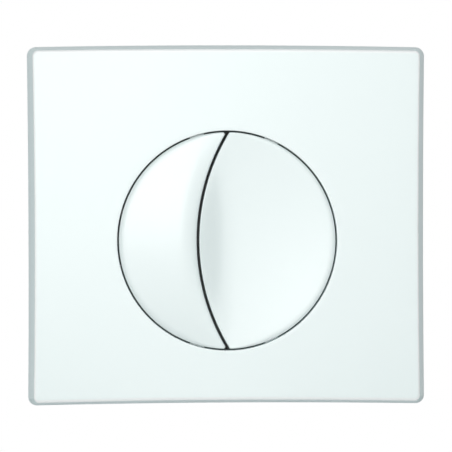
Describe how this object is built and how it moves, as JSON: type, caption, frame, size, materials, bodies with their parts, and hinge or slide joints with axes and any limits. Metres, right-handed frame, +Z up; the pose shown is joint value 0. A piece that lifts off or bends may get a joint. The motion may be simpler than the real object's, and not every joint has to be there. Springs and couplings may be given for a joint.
{
  "type": "flush button plate",
  "caption": "Rectangular wall plate with a round pair of flush keys, a domed crescent for the small flush and a dished key for the full flush, tilting on pins to push sprung rods.",
  "frame": {"origin": "on the finished wall's face, midway between the fixing studs, at the middle of the plate", "axes": "+X to the right and +Z up the wall as the user sees it, +Y into the wall; the face looks along -Y"},
  "size_m": [0.19, 0.0859, 0.1719],
  "materials": {
    "plate_white": "polished moulding, cool white",
    "key_white": "polished moulding, cool white",
    "carrier_grey": "plain moulding, light grey",
    "frame_grey": "fine-grained moulding, dark grey",
    "rod_plastic": "natural white, waxy",
    "tip_plastic": "plain moulding, blue",
    "nut_plastic": "plain moulding, black",
    "zinc_steel": "bright zinc plate",
    "pin_steel": "ground",
    "spring_steel": "drawn",
    "buffer_rubber": "moulded"
  },
  "bodies": {
    "plate": {"cover_plate": "plate_white", "key_carrier": "carrier_grey", "carrier_screws": "zinc_steel", "key_buffers": "buffer_rubber", "mounting_frame": "frame_grey", "fixing_studs": "zinc_steel", "fixing_washers": "zinc_steel", "thumb_nuts": "nut_plastic", "small_hinge_pin": "pin_steel", "small_return_spring": "spring_steel", "large_hinge_pin": "pin_steel", "large_return_spring": "spring_steel"},
    "small_key": {"small_flush_key": "key_white"},
    "large_key": {"large_flush_key": "key_white"},
    "small_rod": {"small_push_rod": "rod_plastic", "small_rod_clip": "spring_steel", "small_rod_tip": "tip_plastic", "small_lock_nut": "nut_plastic"},
    "large_rod": {"large_push_rod": "rod_plastic", "large_rod_clip": "spring_steel", "large_rod_tip": "tip_plastic", "large_lock_nut": "nut_plastic"}
  },
  "joints": [
    {"name": "small_key_tilt", "type": "hinge", "parent": "plate", "child": "small_key", "pos_m": [-0.043, -0.0062, -0.0075], "axis": [0, 0, 1], "range_deg": [0, 9], "stiffness_Nm_per_rad": 0.4, "springref_deg": -8.59},
    {"name": "large_key_tilt", "type": "hinge", "parent": "plate", "child": "large_key", "pos_m": [0.043, -0.0062, -0.0075], "axis": [0, 0, -1], "range_deg": [0, 9], "stiffness_Nm_per_rad": 0.4, "springref_deg": -8.59},
    {"name": "small_rod_slide", "type": "slide", "parent": "plate", "child": "small_rod", "axis": [0, 1, 0], "range_m": [0, 0.00347], "deforming": ["small_return_spring"]},
    {"name": "large_rod_slide", "type": "slide", "parent": "plate", "child": "large_rod", "axis": [0, 1, 0], "range_m": [0, 0.00347], "deforming": ["large_return_spring"]}
  ],
  "couplings": [
    {"joint": "small_rod_slide", "follows": "small_key_tilt", "m_per_rad": 0.022},
    {"joint": "large_rod_slide", "follows": "large_key_tilt", "m_per_rad": 0.022}
  ]
}
